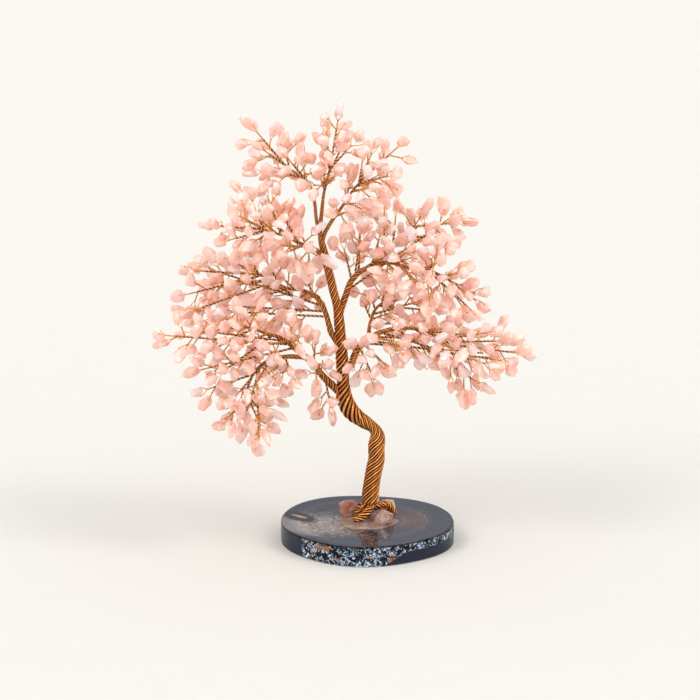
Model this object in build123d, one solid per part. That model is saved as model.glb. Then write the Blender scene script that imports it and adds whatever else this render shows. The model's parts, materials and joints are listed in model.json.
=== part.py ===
from build123d import *
import math
import os

import numpy as np

# A gemstone tree ornament: chips of rose quartz on stalks of twisted copper wire. The wires run
# together into twigs, limbs and a trunk, whose roots are glued among stones on a slice of agate.
# Millimetres. +Z is up, -Y faces the viewer, and the origin is the middle of the slice's underside.

# Agate slice
slice_width = 95.0
slice_depth = 96.0
slice_thickness = 11.8
slice_bevel = 0.5
slice_ripples = [(2, 0.02, 0.6), (3, 0.022, -0.9), (5, 0.01, 2.0)]  # waves, share of the reach and turn

# Copper wire
wire_diameter = 0.45
wires_per_spray = 2  # wires that run from each spray down to the roots
bundle_fill = 0.65  # share of a twisted bundle's section that is copper
limb_end_sprays = 2  # sprays whose wires are still together at a limb's end
trunk_end_sprays = 8  # and at the trunk's top
fork_stretch = 8.0  # length of trunk over which a limb's wires leave it
twig_diameter = 1.3
seat_gap = 0.06  # room between a stem and the thicker stem that carries it
fork_gap = 0.25  # room between a limb's rounded root and the stem that it bends on
limb_swing = 10.0  # degrees that a limb bends to each side, about the upright at its root

# Sprays of leaves
leaf_pitch = 4.4  # along a twig, from one leaf's stalk to the next, and less on a short twig
side_leaves = 3  # on a short twig
leaf_tries = 14  # directions that are tried for a side leaf
stalk_length = 4.5
stalk_spread = 2.0  # how much longer or shorter a stalk may be
leaf_lean = 56.0  # degrees from the twig to a side stalk
leaf_lean_spread = 0.15  # share by which that varies
twig_lean = 45.0  # degrees from the limb to a twig, where there is a choice
lean_worth = 1.25  # length that a twig may gain for each degree nearer to that
least_side_lean = 28.0  # from a limb's side
most_end_lean = 50.0  # where a twig carries on from a limb's end
tip_moves = (4.0, 8.0)  # how far a tip may move to find room for its twig
leaf_room = 0.3  # room kept between leaves and stems, however the limbs are bent

# Rose quartz chips
chip_shapes = 14
chip_length = 8.8
chip_width = 6.9
chip_thickness = 4.4
chip_spread = 0.2  # share by which a chip's sizes vary
chip_sides = 6  # broken sides round a chip's outline
side_place = (0.15, 0.85)  # where in its share of the outline a side stands
side_slant = 0.5
side_depth = (0.7, 1.0)  # share of the chip's half size at which a side is broken
face_slant = 0.5
face_depth = (0.75, 0.95)  # and a broad face
chip_hole_inset = 2.3  # from the chip's end to the middle of its hole
chip_hole_clearance = 0.05
chip_hole_wall = 0.7  # stone left round the hole
loop_slope = 40.0  # degrees at which a loop's legs rise from the stalk's end

# Foot of the trunk
root_height = 11.0
root_straight = 2.5  # length that drops straight from the trunk
root_bend = 1.3  # radius of a root's bends, as a share of its own
first_root_angle = 8.0
stone_length = 10.5
stone_width = 8.5
stone_height = 9.4
stone_seat = 0.4  # share of a stone's height that lies below its middle, down to its flat side
glue_thickness = 1.4
glue_reach = 16.0
glue_ripples = [(3, 0.05, 0.4), (5, 0.04, 0.0)]

# Stems are lofted through a ring every few millimetres.
ring_spacing = 3.0

# The trunk's line, and each limb's: across, away from the viewer, and up from the slice's top.
# A limb's line starts inside the stem that carries it, and its tips are its sprays' outermost chips.
trunk_line = [
    (1.4, 0, root_height), (1.8, 0, 18), (3.5, 0, 29), (5.4, 0, 39), (3.2, 0, 48), (-4, 0, 56),
    (-10.2, 0, 63), (-12.8, 0, 71), (-13.4, 0, 81), (-14, 0, 92), (-14.6, 0, 102), (-15.4, 0, 112),
    (-16.4, 0, 122), (-18.4, 0, 130), (-20.4, 0, 139), (-22.5, 0, 148), (-24.3, 0, 156), (-26, 0, 163),
    (-26, 0, 168),
]
limb_lines = {
    "left_lower": [
        (-11, 0, 70), (-18, -2, 77), (-25, -5, 85), (-31, -8, 94), (-39, -11, 101), (-46, -14, 108),
        (-55, -17, 112), (-64, -20, 116), (-71, -22, 117),
    ],
    "left_droop": [
        (-28, -6, 89), (-36, -10, 96), (-45, -14, 98), (-54, -18, 97), (-61, -21, 92),
        (-65, -23, 84), (-66, -24, 76),
    ],
    "left_middle": [
        (-15, 0, 97), (-18.5, 1, 103), (-21, 2, 111), (-23, 4, 118), (-27, 8, 125), (-36, 14, 128),
        (-45, 19, 128), (-54, 24, 132), (-61, 28, 133),
    ],
    "left_upper": [
        (-23, 0, 152), (-30, -3, 156), (-37, -6, 160), (-43, -9, 164), (-50, -11, 167), (-58, -13, 170),
    ],
    "crown_left": [
        (-26, 0, 162), (-28, 2, 172), (-29, 4, 181), (-32, 7, 190), (-39, 10, 195), (-45, 13, 199),
    ],
    "crown_centre": [
        (-26, 0, 166), (-25, -1, 176), (-24, -2, 186), (-22, -3, 195), (-20, -4, 204),
    ],
    "crown_right": [
        (-25, 0, 161), (-20, -3, 171), (-13, -6, 182), (-9, -8, 189), (-3, -10, 197),
    ],
    "right_upper": [
        (-16, 0, 118), (-12.5, 3, 126), (-10, 6, 133), (-6, 9, 138.5), (0, 13, 141), (7, 17, 145),
        (13, 20, 150), (21, 23, 156), (28, 26, 161),
    ],
    "right_middle": [
        (2, 14, 142), (12, 9, 145), (20, 4, 144), (28, -1, 144), (35, -5, 144), (43, -9, 141),
    ],
    "right_lower": [
        (-12.5, 0, 77), (-9, -3, 90), (-6, -5, 99), (-1, -7, 105), (6, -9, 110), (14, -11, 113),
        (22, -13, 114), (31, -15, 113), (38, -17, 110), (46, -18, 106),
    ],
    "right_inner": [
        (0, -7, 106), (1.5, 0, 113), (4, 5, 119), (9, 10, 122), (16, 14, 122),
    ],
}
limb_parents = {"left_droop": "left_lower", "right_middle": "right_upper", "right_inner": "right_lower"}
limb_tips = {
    "left_lower": [
        (-114, -30, 115), (-102, -14, 110), (-104, -34, 129), (-97, -24, 92), (-85, -36, 91),
        (-72, -46, 113), (-85, -8, 120), (-57, -38, 111), (-69, -30, 128), (-43, -30, 116),
        (-28, -14, 110), (-17, -14, 87), (-19, -12, 62), (-94, -28, 116), (-91, -30, 103),
        (-79, -20, 101), (-40, -6, 114), (-30, -18, 96), (-25, -10, 98),
    ],
    "left_droop": [
        (-82, -30, 63), (-70, -14, 54), (-59, -24, 48), (-55, -38, 59), (-46, -6, 69),
        (-39, -28, 86), (-75, -42, 80), (-94, -20, 79), (-55, -2, 60), (-65, -52, 85),
        (-68, -8, 87), (-54, -34, 91), (-44, -12, 78),
    ],
    "left_middle": [
        (-101, 26, 136), (-104, 18, 123), (-89, 42, 133), (-80, 20, 145), (-70, 40, 142),
        (-58, 16, 149), (-92, 54, 121), (-80, 36, 113), (-65, 14, 122), (-45, 30, 114),
        (-48, 40, 129), (-34, 26, 121), (-75, 4, 135), (-104, 32, 112), (-37, 18, 143),
        (-88, 28, 124), (-56, 32, 121), (-32, 12, 119), (-102, 10, 115),
    ],
    "left_upper": [
        (-89, -10, 171), (-81, -24, 169), (-72, -4, 193), (-68, 12, 177), (-73, -30, 184),
        (-56, -16, 194), (-50, 2, 179), (-61, -40, 185), (-65, -28, 165), (-47, -30, 160),
        (-37, -22, 170), (-54, 2, 157), (-31, -18, 149),
    ],
    "crown_left": [
        (-65, 14, 223), (-47, 26, 215), (-61, 4, 213), (-65, 22, 192), (-55, 0, 200),
        (-36, 22, 200), (-46, -2, 210),
    ],
    "crown_centre": [
        (-15, -2, 235), (-23, 6, 226), (-11, -12, 231), (-24, -10, 220), (-11, 10, 216),
        (-4, 0, 223), (-24, 10, 206), (-27, -18, 204), (-15, -22, 205),
    ],
    "crown_right": [
        (20, -8, 218), (5, -2, 216), (16, -20, 211), (9, -10, 200), (-2, -16, 214),
        (4, -30, 198), (-9, 2, 200), (-9, -26, 184), (1, -14, 185), (-13, -18, 196),
    ],
    "right_upper": [
        (57, 28, 163), (49, 38, 165), (33, 22, 174), (43, 16, 157), (31, 42, 150), (16, 36, 170),
        (9, 18, 177), (-3, 14, 164), (-14, 20, 155), (-4, 28, 173), (8, 46, 154), (19, 6, 159),
    ],
    "right_middle": [
        (64, -18, 127), (52, -26, 149), (56, -8, 134), (46, -16, 160), (40, -32, 158),
        (24, -18, 160), (60, -32, 130), (45, -12, 128), (38, -38, 137), (16, -26, 149),
        (29, -44, 146), (31, 8, 151),
    ],
    "right_lower": [
        (88, -20, 101), (81, -10, 106), (70, -26, 116), (79, -32, 100), (71, -14, 92),
        (60, -14, 112), (45, -32, 119), (66, -24, 82), (73, -20, 101), (40, -16, 106),
        (51, -44, 107), (6, -18, 81), (13, -28, 94), (-3, -24, 99), (20, -36, 112), (28, 2, 104),
        (54, -4, 109),
    ],
    "right_inner": [
        (-6, 6, 131), (-1, 14, 136), (10, 24, 130), (22, 32, 124), (34, 22, 121), (20, 26, 110),
        (33, 14, 110), (42, 28, 112), (17, 6, 119),
    ],
}

# Each root's knee and end, and each stone's direction in degrees and distance, from the trunk's foot.
root_lines = [
    [(9.5, 4.5, 8), (13.2, 6.2, 2.1)],
    [(0, 6, 5), (-1.5, 11.5, 2.1)],
    [(-5, 2.2, 8), (-7.4, 4.4, 2.1)],
    [(-3.2, -5, 4.8), (-8.5, -6.5, 2.1)],
]
stone_places = [(55, 14.5), (141, 16), (325, 10.4)]

golden_share = (math.sqrt(5) - 1) / 2
wire_radius = wire_diameter / 2
stalk_radius = wire_diameter  # two wires twisted together
twig_radius = twig_diameter / 2


def bundle_radius(sprays):
    """Radius of the bundle of all the wires that feed so many sprays."""
    return wire_radius * math.sqrt(sprays * wires_per_spray / bundle_fill)


def unit(vector):
    return np.asarray(vector, float) / np.linalg.norm(vector)


def spread(count, low, high):
    """An even scatter of values between low and high, one for each count."""
    return low + (high - low) * ((count * golden_share) % 1)


def across(direction, roll=0.0):
    """A direction square to the given one, turned about it by the roll."""
    helper = np.eye(3)[np.argmin(np.abs(direction))]
    side = unit(np.cross(direction, helper))
    return math.cos(roll) * side + math.sin(roll) * np.cross(direction, side)


def plane_at(point, direction, side):
    return Plane(origin=Vector(*point), x_dir=Vector(*side), z_dir=Vector(*direction))


def rod(start, direction, length, radius):
    return Solid.make_cylinder(radius, length, plane_at(start, direction, across(direction)))


def lift(line):
    """A line's points, raised from the slice's top to the underside's frame."""
    return np.asarray(line, float) + (0, 0, slice_thickness)


def smooth(line, spacing):
    """Evenly spaced points on a Catmull-Rom curve through a line's points."""
    knots = np.vstack([2 * line[0] - line[1], line, 2 * line[-1] - line[-2]])
    t = np.linspace(0, 1, 16, endpoint=False)[:, None]
    spans = []
    for a, b, c, d in zip(knots, knots[1:], knots[2:], knots[3:]):
        spans.append(b + (c - a) * t / 2 + (a - 2.5 * b + 2 * c - d / 2) * t**2
                     + (1.5 * (b - c) + (d - a) / 2) * t**3)
    return even(np.vstack(spans + [line[-1:]]), spacing)


def even(points, spacing):
    """The same line with its points evenly spaced."""
    run = np.append(0, np.cumsum(np.linalg.norm(np.diff(points, axis=0), axis=1)))
    stations = np.linspace(0, run[-1], max(1, round(run[-1] / spacing)) + 1)
    return np.column_stack([np.interp(stations, run, column) for column in points.T])


class Stem:
    """A bundle of wires along a line of points, with its radius at each point."""

    def __init__(self, points, radii):
        self.points = points
        self.radii = radii
        self.tangents = np.array([unit(step) for step in np.gradient(points, axis=0)])

    def solid(self):
        rings = []
        for point, tangent, radius in zip(self.points, self.tangents, self.radii):
            side = unit(np.cross((0, 1, 0), tangent))
            rings.append(Wire.make_circle(radius, plane_at(point, tangent, side)))
        return Solid.make_loft(rings, ruled=True)

    def balls(self, spacing=1.0):
        """Centres and radii of balls that fill the stem."""
        joined = even(np.column_stack([self.points, self.radii]), spacing)
        return joined[:, :3], joined[:, 3]


class Limb(Stem):
    """A stem that starts with a rounded root beside the stem that carries it."""

    def __init__(self, name, parent, sprays):
        line = smooth(lift(limb_lines[name]), ring_spacing / 6)
        start_radius = bundle_radius(sprays)
        centres, radii = parent.balls(ring_spacing / 6)
        gaps = np.linalg.norm(line[:, None] - centres[None], axis=2) - radii
        seated = np.argmax(gaps.min(axis=1) > start_radius + fork_gap)
        points = even(line[seated:], ring_spacing)
        super().__init__(points, np.linspace(start_radius, bundle_radius(limb_end_sprays), len(points)))
        self.name = name
        self.hinge = points[0]

    def solid(self):
        side = across(self.tangents[0])
        root = plane_at(self.hinge, self.tangents[0], side)
        return super().solid().fuse(Solid.make_sphere(self.radii[0], root, angle1=-90, angle2=0))


class Crowd:
    """Balls that stand for every stem and chip, followed through every posture of the limbs."""

    def __init__(self, limbs, steps=7, most=60000):
        names = list(limbs)
        swings = [np.zeros(len(names))]
        for index in range(len(names)):
            for swing in np.linspace(-limb_swing, limb_swing, steps):
                swings.append(swing * np.eye(len(names))[index])
        swings.append(np.full(len(names), -limb_swing))
        swings.append(np.full(len(names), limb_swing))
        swings = np.radians(swings)
        self.turn = {"trunk": np.ones(len(swings), complex)}
        self.shift = {"trunk": np.zeros(len(swings), complex)}
        for index, name in enumerate(names):
            carrier = limb_parents.get(name, "trunk")
            hinge = complex(*limbs[name].hinge[:2])
            self.turn[name] = self.turn[carrier] * np.exp(1j * swings[:, index])
            carried = self.turn[carrier] * hinge + self.shift[carrier]
            self.shift[name] = carried - self.turn[name] * hinge
        self.flat = np.zeros((len(swings), most), complex)
        self.height = np.zeros(most)
        self.radius = np.zeros(most)
        self.body = np.full(most, "", dtype="U20")
        self.stem = np.zeros(most, int)
        self.stem_numbers = {}
        self.count = 0

    def moved(self, body, centres):
        flat = centres[:, 0] + 1j * centres[:, 1]
        return self.turn[body][:, None] * flat + self.shift[body][:, None]

    def add(self, body, stem, centres, radii):
        new = slice(self.count, self.count + len(centres))
        self.flat[:, new] = self.moved(body, centres)
        self.height[new] = centres[:, 2]
        self.radius[new] = radii
        self.body[new] = body
        self.stem[new] = self.stem_numbers.setdefault(stem, len(self.stem_numbers))
        self.count = new.stop

    def clear(self, body, centres, radii, ignored=()):
        """Whether new balls on a body stay clear of the crowd in every posture."""
        lowest = (centres[:, 2] - radii).min() - leaf_room
        highest = (centres[:, 2] + radii).max() + leaf_room
        height = self.height[:self.count]
        radius = self.radius[:self.count]
        ignored_numbers = [self.stem_numbers[stem] for stem in ignored]
        level = (height + radius > lowest) & (height - radius < highest)
        level = np.nonzero(level & ~np.isin(self.stem[:self.count], ignored_numbers))[0]
        rise = centres[:, 2][:, None] - height[level]
        reach = radii[:, None] + radius[level] + leaf_room
        mine, column = np.nonzero(np.abs(rise) < reach)
        need = reach[mine, column]**2 - rise[mine, column]**2
        theirs = level[column]
        moving = self.body[theirs] != body
        flat = self.moved(body, centres)
        for postures, tested in ((slice(0, 1), np.full(len(mine), True)), (slice(1, None), moving)):
            apart = flat[postures][:, mine[tested]] - self.flat[postures][:, theirs[tested]]
            if (apart.real**2 + apart.imag**2 < need[tested]).any():
                return False
        return True


def broken(width, thickness, length, seed, kept_level=0.0, kept_radius=0.0):
    """A block with broken sides, middle at the origin, length upright, round a bore along Y that it keeps."""
    half = np.array([width, thickness, length]) / 2
    scatter = np.random.default_rng(seed)
    cuts = []
    for side in range(chip_sides):
        turn = 2 * math.pi * (side + scatter.uniform(*side_place)) / chip_sides
        slant = scatter.uniform(-side_slant, side_slant)
        cuts.append(((math.cos(turn), slant, math.sin(turn)), scatter.uniform(*side_depth)))
    for face in (-1, 1, -1, 1):
        turn = scatter.uniform(0, 2 * math.pi)
        slant = face_slant * np.array([math.cos(turn), math.sin(turn)])
        cuts.append(((slant[0], face, slant[1]), scatter.uniform(*face_depth)))
    block = Box(width, thickness, length)
    for direction, depth in cuts:
        normal = unit(direction) / half
        distance = depth / np.linalg.norm(normal)
        normal = unit(normal)
        flat = math.hypot(normal[0], normal[2])
        distance = max(distance, normal[2] * kept_level + flat * kept_radius)
        cut = Plane(origin=Vector(*(normal * distance)), z_dir=Vector(*normal))
        block = split(block, bisect_by=cut, keep=Keep.BOTTOM)
    return block


class LeafShape:
    """A drilled chip and the wire loop through its hole, on a stalk that ends at the origin."""

    def __init__(self, seed):
        length = chip_length * spread(seed, 1 - chip_spread, 1 + chip_spread)
        width = chip_width * spread(3 * seed + 1, 1 - chip_spread, 1 + chip_spread)
        thickness = chip_thickness * spread(5 * seed + 2, 1 - chip_spread, 1 + chip_spread)
        hole_radius = wire_radius + chip_hole_clearance
        hole_level = chip_hole_inset - length / 2
        stone = broken(width, thickness, length, seed, hole_level, hole_radius + chip_hole_wall)
        below_hole = split(stone, bisect_by=Plane.XY.offset(hole_level + hole_radius), keep=Keep.BOTTOM)
        box = below_hole.bounding_box()
        leg = max(-box.min.Y, box.max.Y) + wire_radius + leaf_room / 2
        start = wire_radius + seat_gap / 2
        lowest = wire_radius + seat_gap  # the loop's ends are cut square to their slope
        flare = lowest + (leg - start) * math.tan(math.radians(loop_slope))
        rise = flare + length / 2
        level = rise + hole_level
        drill = Plane.XZ.offset(-thickness) * Pos(0, hole_level) * Cylinder(hole_radius, 4 * thickness)
        self.chip = Pos(0, 0, rise) * (stone - drill)
        path = FilletPolyline(
            (0, start, lowest), (0, leg, flare), (0, leg, level), (0, -leg, level), (0, -leg, flare),
            (0, -start, lowest), radius=wire_diameter,
        )
        self.loop = sweep(plane_at(path @ 0, path % 0, (1, 0, 0)) * Circle(wire_radius), path=path)
        self.middle = rise
        inset = thickness / 2
        self.places = []
        self.radii = []
        for x in np.array([-1, 0, 1]) * (width / 2 - inset):
            for z in rise + np.array([-1, 0, 1]) * (length / 2 - inset):
                self.places.append((x, 0, z))
                self.radii.append(inset)
        for corner in stone.vertices():
            self.places.append((corner.X, corner.Y, corner.Z + rise))
            self.radii.append(wire_radius)
        for y in (-leg, leg):
            for share in (0, 0.5, 1):
                self.places += [(0, y * share, flare * share), (0, y, flare + (level - flare) * share)]
                self.radii += [wire_radius, wire_radius]


class Spray:
    """A twig from a limb to a tip, and the leaves along it."""

    def __init__(self, limb, number, start, direction, length):
        self.limb = limb
        self.name = f"{limb.name} {number}"
        self.number = number
        self.start = start
        self.direction = direction
        self.length = length

    def balls(self, skipped=0.0):
        centres = self.start + np.arange(skipped, self.length, 1.0)[:, None] * self.direction
        return centres, np.full(len(centres), twig_radius)


def twig_choices(limb, tip):
    """Starts and directions of twigs from a limb to a tip, the most natural ones first."""
    choices = []
    last = len(limb.points) - 1
    for index in range(2, last + 1):
        reach = tip - limb.points[index]
        distance = np.linalg.norm(reach)
        direction = reach / distance
        lean = math.acos(np.clip(direction @ limb.tangents[index], -1, 1))
        cost = distance + lean_worth * abs(math.degrees(lean) - twig_lean)
        at_end = index == last and lean < math.radians(most_end_lean)
        if at_end:
            offset = (twig_radius * math.sin(lean) + seat_gap) / math.cos(lean)
        elif lean > math.radians(least_side_lean):
            offset = (limb.radii[index] + twig_radius * abs(math.cos(lean)) + seat_gap) / math.sin(lean)
        else:
            continue
        choices.append((cost, limb.points[index] + offset * direction, direction, at_end))
    return sorted(choices, key=lambda choice: choice[0])


def seated(limb, start, direction):
    """A twig's start, moved out along the twig until its end clears the limb all round."""
    centres, radii = limb.balls(ring_spacing / 6)
    side = across(direction)
    turns = np.arange(12) * math.pi / 6
    rim = np.outer(np.cos(turns), side) + np.outer(np.sin(turns), np.cross(direction, side))
    collar = np.vstack([twig_radius * (rim + along * direction) for along in range(4)])
    while (np.linalg.norm((start + collar)[:, None] - centres, axis=2) < radii + seat_gap / 2).any():
        start = start + seat_gap * direction
    return start


def place_twig(crowd, limb, number, tip, tip_length):
    """The first natural twig to the tip that stays clear of everything, or None."""
    moves = [(0, 0, 0)]
    for size in tip_moves:
        moves += [(0, size, 0), (0, -size, 0), (0, 0, size), (0, 0, -size), (size, 0, 0), (-size, 0, 0)]
    for move in moves:
        for _, start, direction, at_end in twig_choices(limb, tip + move):
            if not at_end:
                start = seated(limb, start, direction)
            length = (tip + move - start) @ direction - tip_length
            if length < 2 * twig_diameter:
                continue
            spray = Spray(limb, number, start, direction, length)
            clear_of_others = crowd.clear(limb.name, *spray.balls(), ignored=[limb.name])
            if clear_of_others and crowd.clear(limb.name, *spray.balls(skipped=2 * twig_diameter)):
                crowd.add(limb.name, spray.name, *spray.balls())
                return spray
    return None


class Leaf:
    """A stalk, its wire loop and its chip."""

    def __init__(self, shape, start, direction, length, roll):
        self.shape = shape
        self.start = start
        self.direction = direction
        self.length = length
        self.side = across(direction, roll)
        self.end = start + direction * length
        self.plane = plane_at(self.end, direction, self.side)

    def stalk_balls(self):
        along = np.arange(2 * stalk_radius, self.length, 1.0)
        return self.start + along[:, None] * self.direction, np.full(len(along), stalk_radius)

    def chip_balls(self):
        axes = np.array([self.side, np.cross(self.direction, self.side), self.direction])
        return self.end + np.array(self.shape.places) @ axes, np.array(self.shape.radii)

    def stalk(self):
        return rod(self.start, self.direction, self.length, stalk_radius)


def place_leaf(crowd, spray, leaf):
    """Adds a leaf to the crowd if it stays clear of everything."""
    body = spray.limb.name
    if not crowd.clear(body, *leaf.chip_balls()):
        return False
    if not crowd.clear(body, *leaf.stalk_balls(), ignored=[spray.name]):
        return False
    crowd.add(body, f"{spray.name} leaf", *leaf.chip_balls())
    crowd.add(body, f"{spray.name} leaf", *leaf.stalk_balls())
    return True


def tip_leaf(spray, shape, count):
    start = spray.start + (spray.length + seat_gap) * spray.direction
    return Leaf(shape, start, spray.direction, stalk_length, spread(count, 0, math.pi))


def side_leaf(spray, shape, count, station, turn):
    """A leaf that leans out from the twig at a station along it."""
    lean = math.radians(leaf_lean * spread(count, 1 - leaf_lean_spread, 1 + leaf_lean_spread))
    side = across(spray.direction, turn)
    direction = math.cos(lean) * spray.direction + math.sin(lean) * side
    offset = (twig_radius + stalk_radius * math.cos(lean) + seat_gap) / math.sin(lean)
    start = spray.start + station * spray.direction + offset * direction
    length = stalk_length + spread(2 * count, -stalk_spread, stalk_spread)
    return Leaf(shape, start, direction, length, spread(3 * count, 0, math.pi))


def export(node, solids):
    export_step(Compound(children=list(solids)), f"parts/{node}.step")


def blot(ripples, width, depth, thickness, points=24):
    """A flat piece with a rippled round outline, middle of its underside at the origin."""
    turns = np.arange(points) * 2 * math.pi / points
    reach = 1 + sum(share * np.cos(waves * turns + turn) for waves, share, turn in ripples)
    x = reach * np.cos(turns)
    y = reach * np.sin(turns)
    x = (x - (x.max() + x.min()) / 2) * width / np.ptp(x)
    y = (y - (y.max() + y.min()) / 2) * depth / np.ptp(y)
    return extrude(make_face(Spline(*zip(x, y), periodic=True)), thickness)


def agate_slice():
    slab = blot(slice_ripples, slice_width, slice_depth, slice_thickness)
    rims = slab.faces().sort_by(Axis.Z)
    return chamfer(rims[0].edges() + rims[-1].edges(), slice_bevel)


sprays_on = {name: len(tips) for name, tips in limb_tips.items()}
for name, parent in limb_parents.items():
    sprays_on[parent] += sprays_on[name]

# Trunk: the wires of each limb leave it over a short stretch round the limb's fork.
trunk_points = smooth(lift(trunk_line), ring_spacing)
sprays_left = np.zeros(len(trunk_points))
for name, line in limb_lines.items():
    if name not in limb_parents:
        below_fork = (lift(line)[0, 2] - trunk_points[:, 2]) / fork_stretch + 0.5
        sprays_left += sprays_on[name] * np.clip(below_fork, 0, 1)
trunk_radii = np.array([bundle_radius(max(sprays, trunk_end_sprays)) for sprays in sprays_left])
trunk = Stem(trunk_points, trunk_radii)
trunk.tangents[0] = (0, 0, 1)  # its foot is cut level

# Roots, stones and glue at the trunk's foot.
foot = lift(trunk_line)[0] - (0, 0, root_height)
foot_radius = trunk_radii[0]
root_radius = foot_radius / (1 + math.sqrt(2)) - seat_gap
root_offset = foot_radius - root_radius - seat_gap


def root(number):
    """A bundle that drops from the trunk, bends outwards and runs down to the slice."""
    angle = math.radians(first_root_angle + number * 360 / len(root_lines))
    x = root_offset * math.cos(angle)
    y = root_offset * math.sin(angle)
    top = [(x, y, root_height - seat_gap), (x, y, root_height - root_straight)]
    path = FilletPolyline(*top, *root_lines[number], radius=root_bend * root_radius)
    bundle = sweep(plane_at(path @ 0, path % 0, (1, 0, 0)) * Circle(root_radius), path=path)
    return Pos(*foot) * bundle


def foot_stone(angle, distance, seed):
    """A rough stone on the slice, with a flat side under it and its length away from the trunk."""
    below = stone_seat * stone_height
    stone = Rot(0, 90, 0) * broken(2 * (stone_height - below), stone_width, stone_length, seed)
    stone = split(stone, bisect_by=Plane.XY.offset(-below), keep=Keep.TOP)
    return Pos(*foot) * Rot(0, 0, angle) * Pos(distance, 0, below) * stone


roots = [root(number) for number in range(len(root_lines))]
stones = [foot_stone(*place, chip_shapes + index) for index, place in enumerate(stone_places)]
glue = Pos(*foot) * blot(glue_ripples, 2 * glue_reach, 2 * glue_reach, glue_thickness)
for piece in roots + stones:
    glue = glue - piece

# Limbs, then twigs, then the leaf at each twig's tip, then the leaves along the twigs.
stems = {"trunk": trunk}
for name in limb_lines:
    stems[name] = Limb(name, stems[limb_parents.get(name, "trunk")], sprays_on[name])
limbs = {name: stems[name] for name in limb_lines}
shapes = [LeafShape(seed) for seed in range(chip_shapes)]
crowd = Crowd(limbs)
crowd.add("trunk", "trunk", *trunk.balls())
for name, limb in limbs.items():
    crowd.add(name, name, *limb.balls())

sprays = []
leaves = {name: [] for name in limbs}
count = 0
for name, limb in limbs.items():
    for number, tip in enumerate(lift(limb_tips[name])):
        shape = shapes[count % chip_shapes]
        count += 1
        spray = place_twig(crowd, limb, number, tip, seat_gap + stalk_length + shape.middle)
        if spray is None:
            print("no room for spray", name, number)
            continue
        sprays.append(spray)
        leaf = tip_leaf(spray, shape, count)
        if place_leaf(crowd, spray, leaf):
            leaves[name].append(leaf)
for spray in sprays:
    highest = spray.length - twig_radius - stalk_radius
    pitch = min(leaf_pitch, highest / (side_leaves + 0.5))
    stations = np.arange(highest, pitch, -pitch)
    for station in stations:
        for attempt in range(leaf_tries):
            count += 1
            turn = 2 * math.pi * golden_share * count
            leaf = side_leaf(spray, shapes[count % chip_shapes], count, station, turn)
            if place_leaf(crowd, spray, leaf):
                leaves[spray.limb.name].append(leaf)
                break

os.makedirs("parts", exist_ok=True)
export("agate_slice", [agate_slice()])
export("foot_glue", glue.solids())
for index, piece in enumerate(stones):
    export(f"foot_stone_{index + 1}", [piece])
for index, piece in enumerate(roots):
    export(f"root_{index + 1}", [piece])
export("trunk_bundle", [trunk.solid()])
for name, limb in limbs.items():
    twigs = [rod(s.start, s.direction, s.length, twig_radius) for s in sprays if s.limb is limb]
    export(f"{name}_limb", [limb.solid()])
    export(f"{name}_twigs", twigs + [leaf.stalk() for leaf in leaves[name]])
    export(f"{name}_loops", [leaf.plane.location * leaf.shape.loop for leaf in leaves[name]])
    export(f"{name}_chips", [leaf.plane.location * leaf.shape.chip for leaf in leaves[name]])
    print(name, "hinge", [round(float(v), 3) for v in limb.hinge], "leaves", len(leaves[name]))
print("leaves in all", sum(len(group) for group in leaves.values()))
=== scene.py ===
import json
import math

import bpy
import numpy as np
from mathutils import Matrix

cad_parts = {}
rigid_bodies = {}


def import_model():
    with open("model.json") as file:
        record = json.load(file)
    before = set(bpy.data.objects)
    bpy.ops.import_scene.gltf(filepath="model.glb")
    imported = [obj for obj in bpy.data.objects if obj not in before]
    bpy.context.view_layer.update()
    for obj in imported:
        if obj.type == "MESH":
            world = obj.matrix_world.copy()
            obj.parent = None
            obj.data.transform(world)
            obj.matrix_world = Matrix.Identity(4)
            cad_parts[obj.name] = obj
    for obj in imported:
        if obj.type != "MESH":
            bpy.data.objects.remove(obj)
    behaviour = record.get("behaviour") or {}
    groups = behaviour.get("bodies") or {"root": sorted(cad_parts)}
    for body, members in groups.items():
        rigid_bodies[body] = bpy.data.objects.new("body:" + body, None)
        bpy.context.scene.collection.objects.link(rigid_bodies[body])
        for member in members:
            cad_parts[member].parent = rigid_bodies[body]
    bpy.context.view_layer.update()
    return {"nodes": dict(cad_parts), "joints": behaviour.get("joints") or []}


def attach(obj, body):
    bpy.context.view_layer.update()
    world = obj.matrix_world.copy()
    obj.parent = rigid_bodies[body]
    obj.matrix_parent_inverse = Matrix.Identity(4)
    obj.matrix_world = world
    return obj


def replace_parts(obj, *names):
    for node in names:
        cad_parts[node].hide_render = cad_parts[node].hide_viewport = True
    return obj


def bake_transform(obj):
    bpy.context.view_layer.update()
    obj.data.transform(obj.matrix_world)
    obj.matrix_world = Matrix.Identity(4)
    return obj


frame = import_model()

# Gemstone tree: rose quartz chips on twisted copper wire, rooted among stones on a slice of agate.
# Metres, +Z up, the viewer on the -Y side.
mm = 0.001
scene = bpy.context.scene
limbNames = [name[:-5] for name in frame["nodes"] if name.endswith("_limb")]
hinges = {joint["child"]: joint for joint in frame["joints"]}


def lengthOf(rows):
    return np.linalg.norm(rows, axis=-1)


def unit(rows):
    # each vector divided by its length
    return rows / np.maximum(lengthOf(rows), 1e-12)[..., None]


def turnsOf(count):
    # equal angles once round
    return 2 * math.pi * np.arange(count) / count


def ripple(points, size, seed, waves=10):
    # sum of sine waves in random directions, about one wave per size, from about -1 to 1
    scatter = np.random.default_rng(seed)
    directions = unit(scatter.normal(size=(waves, 3))) * 2 * math.pi / size
    stretch = scatter.uniform(0.6, 1.6, waves)
    phases = scatter.uniform(0, 2 * math.pi, waves)
    return np.sin(points @ (directions * stretch[:, None]).T + phases).sum(axis=-1) / math.sqrt(waves * 2)


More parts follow.
